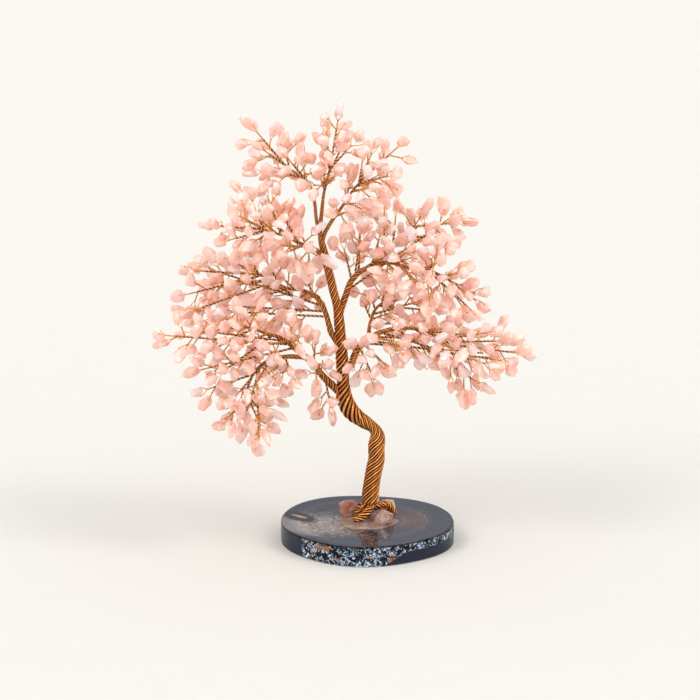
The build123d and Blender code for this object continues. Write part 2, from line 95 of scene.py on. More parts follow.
def nodeShape(name):
    # a CAD node's points and triangles, with points at one place merged
    mesh = frame["nodes"][name].data
    points = np.empty(3 * len(mesh.vertices))
    mesh.vertices.foreach_get("co", points)
    mesh.calc_loop_triangles()
    triangles = np.empty(3 * len(mesh.loop_triangles), int)
    mesh.loop_triangles.foreach_get("vertices", triangles)
    places, merged = np.unique(points.reshape(-1, 3).round(7), axis=0, return_inverse=True)
    return places, merged.ravel()[triangles].reshape(-1, 3)


def solidsIn(name):
    # the separate solids of a CAD node: every point takes the lowest label that its triangles reach
    points, triangles = nodeShape(name)
    labels = np.arange(len(points))
    settled = False
    while not settled:
        lowest = labels.copy()
        np.minimum.at(lowest, triangles.ravel(), np.repeat(labels[triangles].min(axis=1), 3))
        lowest = lowest[lowest]
        settled = np.array_equal(lowest, labels)
        labels = lowest
    solids = []
    for label in np.unique(labels):
        inside = labels[triangles[:, 0]] == label
        solids.append((points[labels == label], points[triangles[inside]]))
    return solids


def tubes(paths, radials, radii, sides, shades=(1.0,)):
    # a round profile carried along each path: path + radius (cos a radial + sin a side), side square
    # to the path and the radial, with both ends closed
    tangents = unit(np.gradient(paths, axis=1))
    sideways = unit(np.cross(tangents, radials))
    outward = np.cross(sideways, tangents)
    turns = turnsOf(sides)[:, None]
    profile = np.cos(turns) * outward[:, :, None] + np.sin(turns) * sideways[:, :, None]
    size = np.broadcast_to(radii, paths.shape[:2])[:, :, None, None]
    points = paths[:, :, None] + size * profile
    index = np.arange(points.size // 3).reshape(points.shape[:3])
    turned = np.roll(index, -1, axis=2)
    quads = np.stack([index[:, :-1], turned[:, :-1], turned[:, 1:], index[:, 1:]], axis=-1)
    ends = np.concatenate([index[:, 0, ::-1], index[:, -1]])
    # painted shade: this share falls from 1 on a strand's outer side to 0 where it turns towards its
    # neighbours, and every other strand takes less by its shades
    facing = np.resize(shades, len(paths))[:, None, None] * (0.5 + 0.5 * np.cos(turns[:, 0]))
    facing = np.broadcast_to(facing, points.shape[:3])
    return {"points": points.reshape(-1, 3), "faces": [quads.reshape(-1, 4), ends], "toneAndPaintedShade": facing.ravel()}


def closedRings(rings, columns):
    # faces between rings of equal count, closed at both ends with a point that comes after the rings
    index = np.arange(rings * columns).reshape(rings, columns)
    turned = np.roll(index, -1, axis=1)
    quads = np.stack([index[:-1], index[1:], turned[1:], turned[:-1]], axis=-1).reshape(-1, 4)
    first = np.full(columns, index.size)
    top = np.stack([first, index[0], turned[0]], axis=-1)
    bottom = np.stack([first + 1, turned[-1], index[-1]], axis=-1)
    return [quads, np.concatenate([top, bottom])]


def ballGrid(rings, columns):
    # directions on a ball: rings of equal angle from a pole, and both poles
    polar = math.pi * np.arange(1, rings + 1)[:, None] / (rings + 1)
    turns = turnsOf(columns)
    body = np.stack(np.broadcast_arrays(np.sin(polar) * np.cos(turns), np.sin(polar) * np.sin(turns),
                                        np.cos(polar)), axis=-1)
    directions = np.concatenate([body.reshape(-1, 3), [[0, 0, 1], [0, 0, -1]]])
    return directions, closedRings(rings, columns)


def lathe(outline, shares, heights):
    # an outline carried from its middle: ring k is the outline scaled by share k at height k
    shape = (len(shares), len(outline), 1)
    rings = np.concatenate([outline[None] * shares[:, None, None],
                            np.broadcast_to(heights[:, None, None], shape)], axis=2)
    points = np.concatenate([rings.reshape(-1, 3), [[0, 0, heights[0]], [0, 0, heights[-1]]]])
    return {"points": points, "faces": closedRings(*shape[:2])}


def putMesh(name, parts, materials, smooth=True):
    # one object from parts, each with points, faces of equal size, a share of tone and painted shade, and a
    # material's number
    points = np.concatenate([part["points"] for part in parts])
    toneAndPaintedShade = np.concatenate([np.broadcast_to(part.get("toneAndPaintedShade", 0.0), len(part["points"])) for part in parts])
    starts = np.cumsum([0] + [len(part["points"]) for part in parts])
    corners, sizes, numbers = [], [], []
    for part, start in zip(parts, starts):
        for faces in part["faces"]:
            corners.append((faces + start).ravel())
            sizes.append(np.full(len(faces), faces.shape[1]))
            numbers.append(np.full(len(faces), part.get("material", 0)))
    corners, sizes, numbers = (np.concatenate(rows).astype(np.int32) for rows in (corners, sizes, numbers))
    mesh = bpy.data.meshes.new(name)
    mesh.vertices.add(len(points))
    mesh.vertices.foreach_set("co", points.astype(np.float32).ravel())
    mesh.loops.add(len(corners))
    mesh.loops.foreach_set("vertex_index", corners)
    mesh.polygons.add(len(sizes))
    mesh.polygons.foreach_set("loop_start", np.append(0, np.cumsum(sizes)[:-1]).astype(np.int32))
    mesh.polygons.foreach_set("material_index", numbers)
    mesh.polygons.foreach_set("use_smooth", np.full(len(sizes), smooth))
    mesh.update(calc_edges=True)
    mesh.validate()
    mesh.attributes.new("toneAndPaintedShade", "FLOAT", "POINT").data.foreach_set("value", toneAndPaintedShade.astype(np.float32))
    for material in materials:
        mesh.materials.append(material)
    piece = bpy.data.objects.new(name, mesh)
    scene.collection.objects.link(piece)
    return piece


# Shader helpers

def makeGroup(name, inputs, outputs):
    # an empty shader group; the kind of a socket follows from its value: a number, a place or a colour
    kinds = {1: "NodeSocketFloat", 3: "NodeSocketVector", 4: "NodeSocketColor"}
    group = bpy.data.node_groups.new(name, "ShaderNodeTree")
    for way, sockets in (("INPUT", inputs), ("OUTPUT", outputs)):
        for label, value in sockets.items():
            socket = group.interface.new_socket(label, in_out=way, socket_type=kinds[np.size(value)])
            socket.default_value = value
    return group, group.nodes.new("NodeGroupInput"), group.nodes.new("NodeGroupOutput")


def giveInputs(tree, node, values):
    # each input by name or number: a link from another node's socket, or else a plain value
    for label, value in values.items():
        if isinstance(value, bpy.types.NodeSocket):
            tree.links.new(value, node.inputs[label])
        else:
            node.inputs[label].default_value = value


def addNode(tree, kind, inputs=None, **settings):
    # a node with its own settings, then its inputs
    node = tree.nodes.new(kind)
    for label, value in settings.items():
        setattr(node, label, value)
    giveInputs(tree, node, inputs or {})
    return node


def mixColours(tree, share, first, second):
    # colour mix by a share from 0 to 1
    return addNode(tree, "ShaderNodeMix", {0: share, 6: first, 7: second}, data_type="RGBA").outputs[2]


def fade(tree, value, low, high, start=0.0, end=1.0):
    # a value carried smoothly from low..high to start..end
    node = addNode(tree, "ShaderNodeMapRange", {"Value": value, "From Min": low, "From Max": high,
                                                "To Min": start, "To Max": end},
                   interpolation_type="SMOOTHSTEP")
    return node.outputs["Result"]


def maths(tree, operation, first, second=0.0):
    return addNode(tree, "ShaderNodeMath", {0: first, 1: second}, operation=operation).outputs[0]


def times(tree, first, second):
    return maths(tree, "MULTIPLY", first, second)


def vectorMaths(tree, operation, *values):
    # vector arithmetic; a length comes out of the output Value
    return addNode(tree, "ShaderNodeVectorMath", dict(enumerate(values)), operation=operation).outputs


def noise(tree, place, scale, detail, distortion=0.0):
    return addNode(tree, "ShaderNodeTexNoise", {"Vector": place, "Scale": scale, "Detail": detail,
                                                "Distortion": distortion}).outputs


def objectPlace(tree):
    return addNode(tree, "ShaderNodeTexCoord").outputs["Object"]


def useGroup(tree, group, **values):
    # the outputs of a group placed in a material
    return addNode(tree, "ShaderNodeGroup", values, node_tree=group).outputs


def newMaterial(name):
    material = bpy.data.materials.new(name)
    material.use_nodes = True
    return material, material.node_tree, material.node_tree.nodes["Principled BSDF"]


def buildCloud():
    # cloudy mask: fractal noise on a place, pushed between two levels
    group, given, result = makeGroup("stoneCloud", {"Place": (0, 0, 0), "Scale": 100.0, "Detail": 4.0,
                                                    "Low": 0.4, "High": 0.6}, {"Mask": 0.0})
    place, scale, detail, low, high = list(given.outputs)[:5]
    group.links.new(fade(group, noise(group, place, scale, detail)[0], low, high), result.inputs["Mask"])
    return group


stoneCloud = buildCloud()


def clouds(tree, place, scale, low, high, detail=4.0):
    return useGroup(tree, stoneCloud, Place=place, Scale=scale, Detail=detail, Low=low, High=high)["Mask"]


def cloudedMaterial(name, look):
    # two colours mixed by clouds, with the shader's plain values
    material, tree, shader = newMaterial(name)
    colour = mixColours(tree, clouds(tree, objectPlace(tree), *look["clouds"]), *look["colours"])
    giveInputs(tree, shader, {"Base Color": colour} | look["finish"])
    return material


# Copper wire
toneLook = {"patches": (160.0, 3.0), "streaks": (1400.0, 2.0), "streakShare": 0.5, "tarnished": (0.6, 0.95),
            "grooveRun": 0.4, "tarnishRoughness": 0.25}


def buildWireTone():
    # copper's colour and roughness: bright metal, tarnished in soft patches, with painted shade in the
    # grooves between strands and on every other strand
    dark = (0, 0, 0, 1)
    group, given, result = makeGroup(
        "wireTone", {"Bright": (1, 1, 1, 1), "Tarnish": dark, "GrooveShade": dark, "Depth": 0.5, "Amount": 0.5,
                     "Smoothness": 0.25}, {"Colour": dark, "Roughness": 0.0})
    place = objectPlace(group)
    facing = addNode(group, "ShaderNodeAttribute", attribute_name="toneAndPaintedShade").outputs["Fac"]
    streaks = times(group, noise(group, place, *toneLook["streaks"])[0], toneLook["streakShare"])
    both = maths(group, "ADD", noise(group, place, *toneLook["patches"])[0], streaks)
    tarnished = times(group, fade(group, both, *toneLook["tarnished"]), given.outputs["Amount"])
    colour = mixColours(group, tarnished, given.outputs["Bright"], given.outputs["Tarnish"])
    # painted shade: where the strand turns in, below Depth, the colour fades to the dark groove colour
    out = maths(group, "SUBTRACT", facing, given.outputs["Depth"])
    out = maths(group, "DIVIDE", out, toneLook["grooveRun"])
    colour = mixColours(group, fade(group, out, 0.0, 1.0), given.outputs["GrooveShade"], colour)
    group.links.new(colour, result.inputs["Colour"])
    rough = times(group, tarnished, toneLook["tarnishRoughness"])
    rough = maths(group, "ADD", given.outputs["Smoothness"], rough)
    group.links.new(rough, result.inputs["Roughness"])
    return group


wireTone = buildWireTone()
# Bright and Tarnish are the copper's own colours; the groove colour is painted shade between strands
copperLooks = {
    "bundleCopper": {"Bright": (1.0, 0.43, 0.12, 1), "Tarnish": (0.80, 0.24, 0.05, 1),
                     "GrooveShade": (0.07, 0.014, 0.003, 1), "Depth": 0.57, "Amount": 0.7, "Smoothness": 0.2},
    "sprayCopper": {"Bright": (1.0, 0.53, 0.17, 1), "Tarnish": (0.96, 0.37, 0.085, 1),
                    "GrooveShade": (0.20, 0.045, 0.009, 1), "Depth": 0.25, "Amount": 0.5, "Smoothness": 0.2},
}
copperMetal = {"bundleCopper": 0.85, "sprayCopper": 0.6}
coreShadeLook = {"clouds": (400.0, 0.3, 0.7), "colours": ((0.012, 0.004, 0.002, 1), (0.05, 0.016, 0.006, 1)),
            "finish": {"Metallic": 0.6, "Roughness": 0.6}}


def copper(name):
    material, tree, shader = newMaterial(name)
    tone = useGroup(tree, wireTone, **copperLooks[name])
    giveInputs(tree, shader, {"Base Color": tone["Colour"], "Roughness": tone["Roughness"],
                              "Metallic": copperMetal[name]})
    return material


bundleCopper = copper("bundleCopper")
sprayCopper = copper("sprayCopper")
bundleCoreShade = cloudedMaterial("shadedCore", coreShadeLook)  # painted shade: the dark middle, seen between the strands

# Rose quartz chips
chipLook = {
    "rings": 5, "columns": 12, "rounding": 120, "unevenness": 0.02, "rippleSize": 1.6, "growth": 1.16,
    "breaks": 5, "breakDepth": (0.46, 0.80), "breakTurn": 1.4, "tintSpread": (1.6, 2.2),
    "boreReach": 5 * mm, "boreSteps": 60, "mouthRadius": 0.5 * mm, "mouthSides": 9, "mouthStand": 0.05 * mm,
}
quartzLook = {
    "pale": (0.80, 0.545, 0.48, 1), "deep": (0.79, 0.40, 0.32, 1), "cool": (0.74, 0.61, 0.62, 1),
    "milk": (0.80, 0.63, 0.585, 1), "coolBelow": (0.1, 0.16), "clouds": (190.0, 0.42, 0.66, 5.0),
    "veins": (620.0, 0.6, 0.72, 3.0), "veinShare": 0.35, "roughness": 0.12, "cloudRoughness": 0.1,
    "finish": {"Transmission Weight": 0.14, "Subsurface Weight": 0.85, "Subsurface Radius": (1.0, 0.5, 0.4),
               "Subsurface Scale": 0.006, "IOR": 1.54, "Coat Weight": 0.3, "Coat Roughness": 0.06,
               "Emission Strength": 0.13},  # the glow stands for light scattered inside the crown
}
holeShadeLook = {"clouds": (900.0, 0.3, 0.7), "colours": ((0.10, 0.03, 0.015, 1), (0.25, 0.09, 0.05, 1)),
             "finish": {"Roughness": 0.5}}
wireRadius = 0.28 * mm


def roseQuartz():
    # milky pink stone: a tint of its own for each chip, with paler clouds and deeper veins inside
    look = quartzLook
    material, tree, shader = newMaterial("roseQuartz")
    place = objectPlace(tree)
    toneAndPaintedShade = addNode(tree, "ShaderNodeAttribute", attribute_name="toneAndPaintedShade").outputs["Fac"]
    own = mixColours(tree, toneAndPaintedShade, look["pale"], look["deep"])
    own = mixColours(tree, fade(tree, toneAndPaintedShade, *look["coolBelow"]), look["cool"], own)
    cloud = clouds(tree, place, *look["clouds"])
    colour = mixColours(tree, cloud, own, look["milk"])
    veins = times(tree, clouds(tree, place, *look["veins"]), look["veinShare"])
    colour = mixColours(tree, veins, colour, look["deep"])
    glow = mixColours(tree, 0.5, colour, look["deep"])
    rough = times(tree, cloud, look["cloudRoughness"])
    rough = maths(tree, "ADD", look["roughness"], rough)
    giveInputs(tree, shader, {"Base Color": colour, "Emission Color": glow, "Roughness": rough}
               | look["finish"])
    return material


quartzMaterial = roseQuartz()
holeShadeMaterial = cloudedMaterial("holeShadeCap", holeShadeLook)  # painted shade: a dark cap where the drilled hole and the wire in it lie in shade


def flatSides(corners, triangles):
    # a drilled chip's flat sides: planes of its triangles with the whole chip behind them
    normals = unit(np.cross(triangles[:, 1] - triangles[:, 0], triangles[:, 2] - triangles[:, 0]))
    levels = (normals * triangles[:, 0]).sum(axis=1)
    outer = (corners @ normals.T - levels).max(axis=0) < 0.01 * mm
    picked = np.unique(normals[outer].round(2), axis=0, return_index=True)[1]
    return normals[outer][picked], levels[outer][picked], triangles[~outer].reshape(-1, 3), normals[~outer]


def worn(directions, normals, distances, rounding):
    # reach of a stone with worn edges: the soft least of the flat sides' reaches along each direction
    facing = np.maximum(directions @ normals.T, 0) / distances
    most = facing.max(axis=1)
    return 1 / (most * ((facing / most[:, None]) ** rounding).sum(axis=1) ** (1 / rounding))


def chip(corners, triangles, seed):
    # a worn stone on a ball grid, broken flat at a few places away from its hole, with the hole's middle,
    # direction and ends
    normals, levels, bore, boreNormals = flatSides(corners, triangles)
    middle = (corners.min(axis=0) + corners.max(axis=0)) / 2
    boreMiddle = (bore.min(axis=0) + bore.max(axis=0)) / 2
    boreAxis = np.linalg.svd(boreNormals)[2][-1]
    length = unit(middle - boreMiddle)
    frameAxes = np.stack([length, np.cross(boreAxis, length), boreAxis])
    directions, faces = ballGrid(chipLook["rings"], chipLook["columns"])
    directions = unit(directions * np.ptp(corners @ frameAxes.T, axis=0)) @ frameAxes
    chance = np.random.default_rng(seed)
    breaks = unit(chance.normal(size=(chipLook["breaks"], 3)))
    breaks -= chipLook["breakTurn"] * np.minimum(breaks @ length, 0)[:, None] * length
    breaks = unit(breaks)
    depths = chance.uniform(*chipLook["breakDepth"], chipLook["breaks"])
    distances = chipLook["growth"] * np.append(
        levels - normals @ middle, depths * ((corners - middle) @ breaks.T).max(axis=0))
    normals = np.concatenate([normals, breaks])
    reach = worn(directions, normals, distances, chipLook["rounding"])
    reach *= 1 + chipLook["unevenness"] * ripple(directions, chipLook["rippleSize"], seed)
    ends = []
    steps = np.linspace(0, 1, chipLook["boreSteps"])[:, None] * chipLook["boreReach"]
    for way in (-1, 1):
        line = boreMiddle - middle + way * steps * boreAxis
        gap = lengthOf(line)
        inside = gap < worn(unit(line), normals, distances, chipLook["rounding"])
        ends.append(boreMiddle + way * steps[inside.sum() - 1] * boreAxis)
    stone = {"points": middle + reach[:, None] * directions, "faces": faces,
             "toneAndPaintedShade": np.random.default_rng(seed).beta(*chipLook["tintSpread"])}
    return stone, boreMiddle, boreAxis, ends


def mouths(centres, axes):
    # a shallow cap of painted shade over each end of a hole: a ring round a raised middle
    side = unit(np.cross(axes, np.roll(axes, 1, axis=1) + 0.31))
    turns = turnsOf(chipLook["mouthSides"])[:, None]
    ring = np.cos(turns) * side[:, None] + np.sin(turns) * np.cross(axes, side)[:, None]
    rims = centres[:, None] + chipLook["mouthRadius"] * ring - chipLook["mouthStand"] * axes[:, None]
    tops = centres + chipLook["mouthStand"] * axes
    points = np.concatenate([rims, tops[:, None]], axis=1)
    index = np.arange(points.size // 3).reshape(points.shape[:2])
    rim = index[:, :-1]
    top = np.broadcast_to(index[:, -1:], rim.shape)
    faces = np.stack([top, rim, np.roll(rim, -1, axis=1)], axis=-1)
    return {"points": points.reshape(-1, 3), "faces": [faces.reshape(-1, 3)], "material": 1}


loopLook = {  # a loop's way out to the side and up to the hole, in parts of its leg and its height
    "outs": np.array([0.12, 0.34, 0.7, 0.98, 0.9, 0, -0.9, -0.98, -0.7, -0.34, -0.12]),
    "ups": np.array([-0.1, 0.14, 0.42, 0.8, 1, 1, 1, 0.8, 0.42, 0.14, -0.1]),
    "sides": 4, "toneAndPaintedShade": 0.6, "clearance": 0.9 * wireRadius,
}


def loops(stalkEnds, boreMiddles, boreAxes, legs):
    # a wire loop: from the stalk's end out to the chip's side, up to the hole, through it and back
    along = unit(boreMiddles - stalkEnds)
    height = lengthOf(boreMiddles - stalkEnds)
    paths = (stalkEnds[:, None] + (height[:, None] * loopLook["ups"])[:, :, None] * along[:, None]
             + (legs[:, None] * loopLook["outs"])[:, :, None] * boreAxes[:, None])
    flat = np.broadcast_to(np.cross(along, boreAxes)[:, None], paths.shape)
    # painted shade: the loop wire gets one even share all round, so its copper is only a little darkened
    return tubes(paths, flat, wireRadius, loopLook["sides"]) | {"toneAndPaintedShade": loopLook["toneAndPaintedShade"]}


# Twigs and stalks
twigLook = {"strands": 2, "lay": math.radians(43), "step": 0.2 * mm, "rootDepth": 1.2 * mm, "sides": 4,
            "shades": (1.0, 0.25), "thickness": 1.25, "taper": 0.8, "leastRadius": 0.55 * mm}
stalkLook = {"rings": 15, "turnsPerLength": 380.0, "rootDepth": 0.5 * mm, "sides": 4}


def rodEnds(corners):
    # a rod's two ends and its radius, from its longest direction
    middle = corners.mean(axis=0)
    axis = np.linalg.svd(corners - middle, full_matrices=False)[2][0]
    along = (corners - middle) @ axis
    radius = lengthOf(corners - middle - along[:, None] * axis).max()
    return middle + along.min() * axis, middle + along.max() * axis, radius


def twist(path, radial, offset, angle):
    # a path wound round another: path + offset (cos angle radial + sin angle side)
    tangent = unit(np.gradient(path, axis=-2))
    side = unit(np.cross(tangent, radial))
    outward = np.cross(side, tangent)
    turned = np.cos(angle)[..., None] * outward + np.sin(angle)[..., None] * side
    return path + np.asarray(offset)[..., None] * turned, turned


def runOf(path):
    return np.append(0, np.cumsum(lengthOf(np.diff(path, axis=0))))


def windings(path, radii, strands, lay, phase=0.0, packing=0.95):
    # strands laid round a path at a steady angle from it: the turn grows by ds tan(lay) / distance, and
    # a strand's width is its share of the way round, narrowed by cos(lay)
    run = runOf(path)
    radial = unit(np.cross((0, 1, 0), np.gradient(path, axis=0)))
    share = packing * math.pi * math.cos(lay) / strands
    strandRadii = radii * share / (1 + share)
    distance = radii - strandRadii
    grown = np.append(0, np.cumsum(np.diff(run) * 2 / (distance[1:] + distance[:-1]))) * math.tan(lay)
    starts = phase + turnsOf(strands)[:, None]
    shape = (strands,) + path.shape
    return twist(np.broadcast_to(path, shape), np.broadcast_to(radial, shape), distance,
                 starts + grown) + (strandRadii,)


def resample(path, step):
    # the same path with evenly spaced points, smoothed by cubic blending of four neighbours
    knots = np.concatenate([2 * path[:1] - path[1:2], path, 2 * path[-1:] - path[-2:-1]])
    t = np.linspace(0, 1, 12, endpoint=False)[:, None, None]
    a, b, c, d = knots[:-3], knots[1:-2], knots[2:-1], knots[3:]
    curve = (b + (c - a) * t / 2 + (a - 2.5 * b + 2 * c - d / 2) * t**2
             + (1.5 * (b - c) + (d - a) / 2) * t**3)
    curve = np.concatenate([curve.transpose(1, 0, 2).reshape(-1, path.shape[1]), path[-1:]])
    run = runOf(curve[:, :3])
    stations = np.linspace(0, run[-1], int(run[-1] / step) + 2)
    return np.stack([np.interp(stations, run, column) for column in curve.T], axis=1)


# Stems: the line and the radius of a bundle, read from the rings of its CAD node
ringSpacing = 3.0 * mm
stemLook = {"slack": 0.45 * ringSpacing, "widest": 6 * mm, "fewestCorners": 6}


def traceStem(name, start, heading):
    # from ring to ring: the middle of the corners about one spacing ahead, and their mean distance
    corners = nodeShape(name)[0]
    place, rows = start, []
    while True:
        ahead = (corners - place) @ heading
        across = lengthOf(corners - place - ahead[:, None] * heading)
        ring = corners[(np.abs(ahead) < stemLook["slack"]) & (across < stemLook["widest"])]
        if len(ring) < stemLook["fewestCorners"]:
            return np.array(rows)
        middle = (ring.min(axis=0) + ring.max(axis=0)) / 2 if not rows else ring.mean(axis=0)
        if rows:
            heading = unit(middle - rows[-1][:3])
        rows.append(np.append(middle, lengthOf(ring - middle).mean()))
        place = middle + ringSpacing * heading


trunkCorners = nodeShape("trunk_bundle")[0]
footRing = trunkCorners[trunkCorners[:, 2] < trunkCorners[:, 2].min() + 0.1 * mm]
foot = footRing.mean(axis=0)
trunkStem = traceStem("trunk_bundle", foot, np.array([0.0, 0.0, 1.0]))
trunkStem[1:-1] = (trunkStem[:-2] + 2 * trunkStem[1:-1] + trunkStem[2:]) / 4
print("trunk rings", len(trunkStem), "radius mm", (trunkStem[[0, -1], 3] / mm).round(2))

bundleLook = {
    "trunkStrands": (14, 8), "limbStrands": (6, 4), "rootStrands": 6, "trunkParting": 0.34,
    "limbParting": 0.5, "trunkLay": math.radians(41), "limbLay": math.radians(40), "trunkPhase": 0.3,
    "trunkStep": 0.5 * mm, "limbStep": 0.34 * mm, "sides": 6, "packing": 0.82, "shades": (1.0, 0.84),
    "bulge": 0.03, "bulgeSize": 14 * mm, "bulgeSeed": 11, "coreEvery": 4, "coreSides": 10, "coreInset": 1.1,
    "drawnIn": np.array([0.9, 0.7, 0.45]),
}


def bundle(name, sections, lay, step, phase):
    # a rope of strands, a little uneven, over a dark core of painted shade that shows between them; each
    # section is a stem and its number of strands
    parts = []
    for stem, strands in sections:
        fine = resample(stem, step)
        fine[:, 3] *= 1 + bundleLook["bulge"] * ripple(fine[:, :3], bundleLook["bulgeSize"],
                                                       bundleLook["bulgeSeed"])
        paths, radials, strandRadii = windings(fine[:, :3], fine[:, 3], strands, lay, phase,
                                               bundleLook["packing"])
        parts.append(tubes(paths, radials, strandRadii, bundleLook["sides"], bundleLook["shades"]))
        coarse = fine[::bundleLook["coreEvery"]]
        inset = bundleLook["coreInset"] * strandRadii[::bundleLook["coreEvery"]]
        radial = unit(np.cross((0, 1, 0), np.gradient(coarse[:, :3], axis=0)))
        core = tubes(coarse[None, :, :3], radial[None], coarse[:, 3] - inset, bundleLook["coreSides"])
        core["material"] = 1
        parts.append(core)
    return putMesh(name, parts, [bundleCopper, bundleCoreShade])


def parted(stem, share, counts):
    # a stem in two overlapping sections, fewer strands in the second, and the first one's end drawn in
    turn = int(share * len(stem))
    lower, upper = stem[:turn + 2].copy(), stem[turn - 1:].copy()
    lower[-3:, 3] *= bundleLook["drawnIn"]
    return [(lower, counts[0]), (upper, counts[1])]


# Trunk: fewer strands above the low forks, its last rings drawn in
wholeTrunk = trunkStem.copy()
wholeTrunk[-3:, 3] *= bundleLook["drawnIn"]
trunkSections = parted(wholeTrunk, bundleLook["trunkParting"], bundleLook["trunkStrands"])
trunk = bundle("trunkRope", trunkSections, bundleLook["trunkLay"], bundleLook["trunkStep"],
               bundleLook["trunkPhase"])
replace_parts(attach(trunk, "stand"), "trunk_bundle")
print("trunk done")

# Roots: down from the trunk, over a knee and on to the slice
rootLook = {"height": 11.0 * mm, "straight": 2.5 * mm, "overlap": 4.0 * mm, "radius": 2.3 * mm,
            "firstAngle": math.radians(8), "offsets": np.array([1.75, 2.5, 2.75])[:, None] * mm,
            "swell": np.array([0.8, 0.9, 1, 1, 0.9]), "lines": [
                [(9.5, 4.5, 8), (13.2, 6.2, 2.1)], [(0, 6, 5), (-1.5, 11.5, 2.1)],
                [(-5, 2.2, 8), (-7.4, 4.4, 2.1)], [(-3.2, -5, 4.8), (-8.5, -6.5, 2.1)]]}
ground = np.array([foot[0], foot[1], foot[2] - rootLook["height"]])
for number, line in enumerate(rootLook["lines"]):
    angle = rootLook["firstAngle"] + number * 2 * math.pi / len(rootLook["lines"])
    outward = np.array([math.cos(angle), math.sin(angle), 0])
    drops = np.array([rootLook["overlap"], 0, -rootLook["straight"]])
    top = rootLook["offsets"] * outward + (rootLook["height"] + drops)[:, None] * (0, 0, 1)
    path = ground + np.concatenate([top, np.array(line) * mm])
    stem = np.column_stack([path, rootLook["radius"] * rootLook["swell"]])
    rope = bundle(f"rootRope{number + 1}", [(stem, bundleLook["rootStrands"])],
                  bundleLook["trunkLay"], bundleLook["limbStep"], number)
    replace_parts(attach(rope, "stand"), f"root_{number + 1}")
print("roots done")

# Limbs: each starts inside the bundle that carries it and peels off below its fork
limbLook = {"below": (13.0 * mm, 6.0 * mm), "inset": (0.35, 0.7), "bend": 2.5 * mm, "leadWidth": 0.8,
            "secondRing": (0.87 * ringSpacing, 1.5 * ringSpacing)}
stems = {"stand": trunkStem}
pending = list(limbNames)
while pending:
    limb = next(name for name in pending if hinges[name]["parent"] in stems)
    pending.remove(limb)
    corners = nodeShape(f"{limb}_limb")[0]
    carrierBody = hinges[limb]["parent"]
    carrier = stems[carrierBody]
    hinge = np.array(hinges[limb]["pos_m"], float)
    nearest = np.argmin(lengthOf(carrier[:, :3] - hinge))
    away = lengthOf(corners - hinge)
    nearEnd, farEnd = limbLook["secondRing"]
    second = corners[(away > nearEnd) & (away < farEnd)].mean(axis=0)
    stem = traceStem(f"{limb}_limb", second, unit(second - hinge))
    stem = np.concatenate([[np.append(hinge, away.min())], stem])
    stems[limb] = stem
    run = runOf(carrier[:, :3])
    outward = carrier[nearest, 3] * unit(hinge - carrier[nearest, :3])
    lead = []
    for below, inset in zip(limbLook["below"], limbLook["inset"]):
        on = np.array([np.interp(run[nearest] - below, run, column) for column in carrier.T])
        lead.append(np.append(on[:3] + inset * outward, limbLook["leadWidth"] * stem[0, 3]))
    sections = parted(np.concatenate([lead, stem]), bundleLook["limbParting"], bundleLook["limbStrands"])
    rope = bundle(f"{limb}Rope", sections, bundleLook["limbLay"], bundleLook["limbStep"], len(pending))
    reach = limbLook["bend"] * unit(stem[1, :3] - stem[0, :3])
    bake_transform(rope)
    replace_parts(rope, f"{limb}_limb")
    print(limb, "rings", len(stem), "tip radius mm", round(stem[-1, 3] / mm, 2))


def twigGap(places, starts, runs):
    # distance from each place to the nearest twig's line
    away = places[:, None] - starts
    share = ((away * runs).sum(axis=2) / (runs ** 2).sum(axis=1)).clip(0, 1)
    return lengthOf(away - share[:, :, None] * runs).min(axis=1)


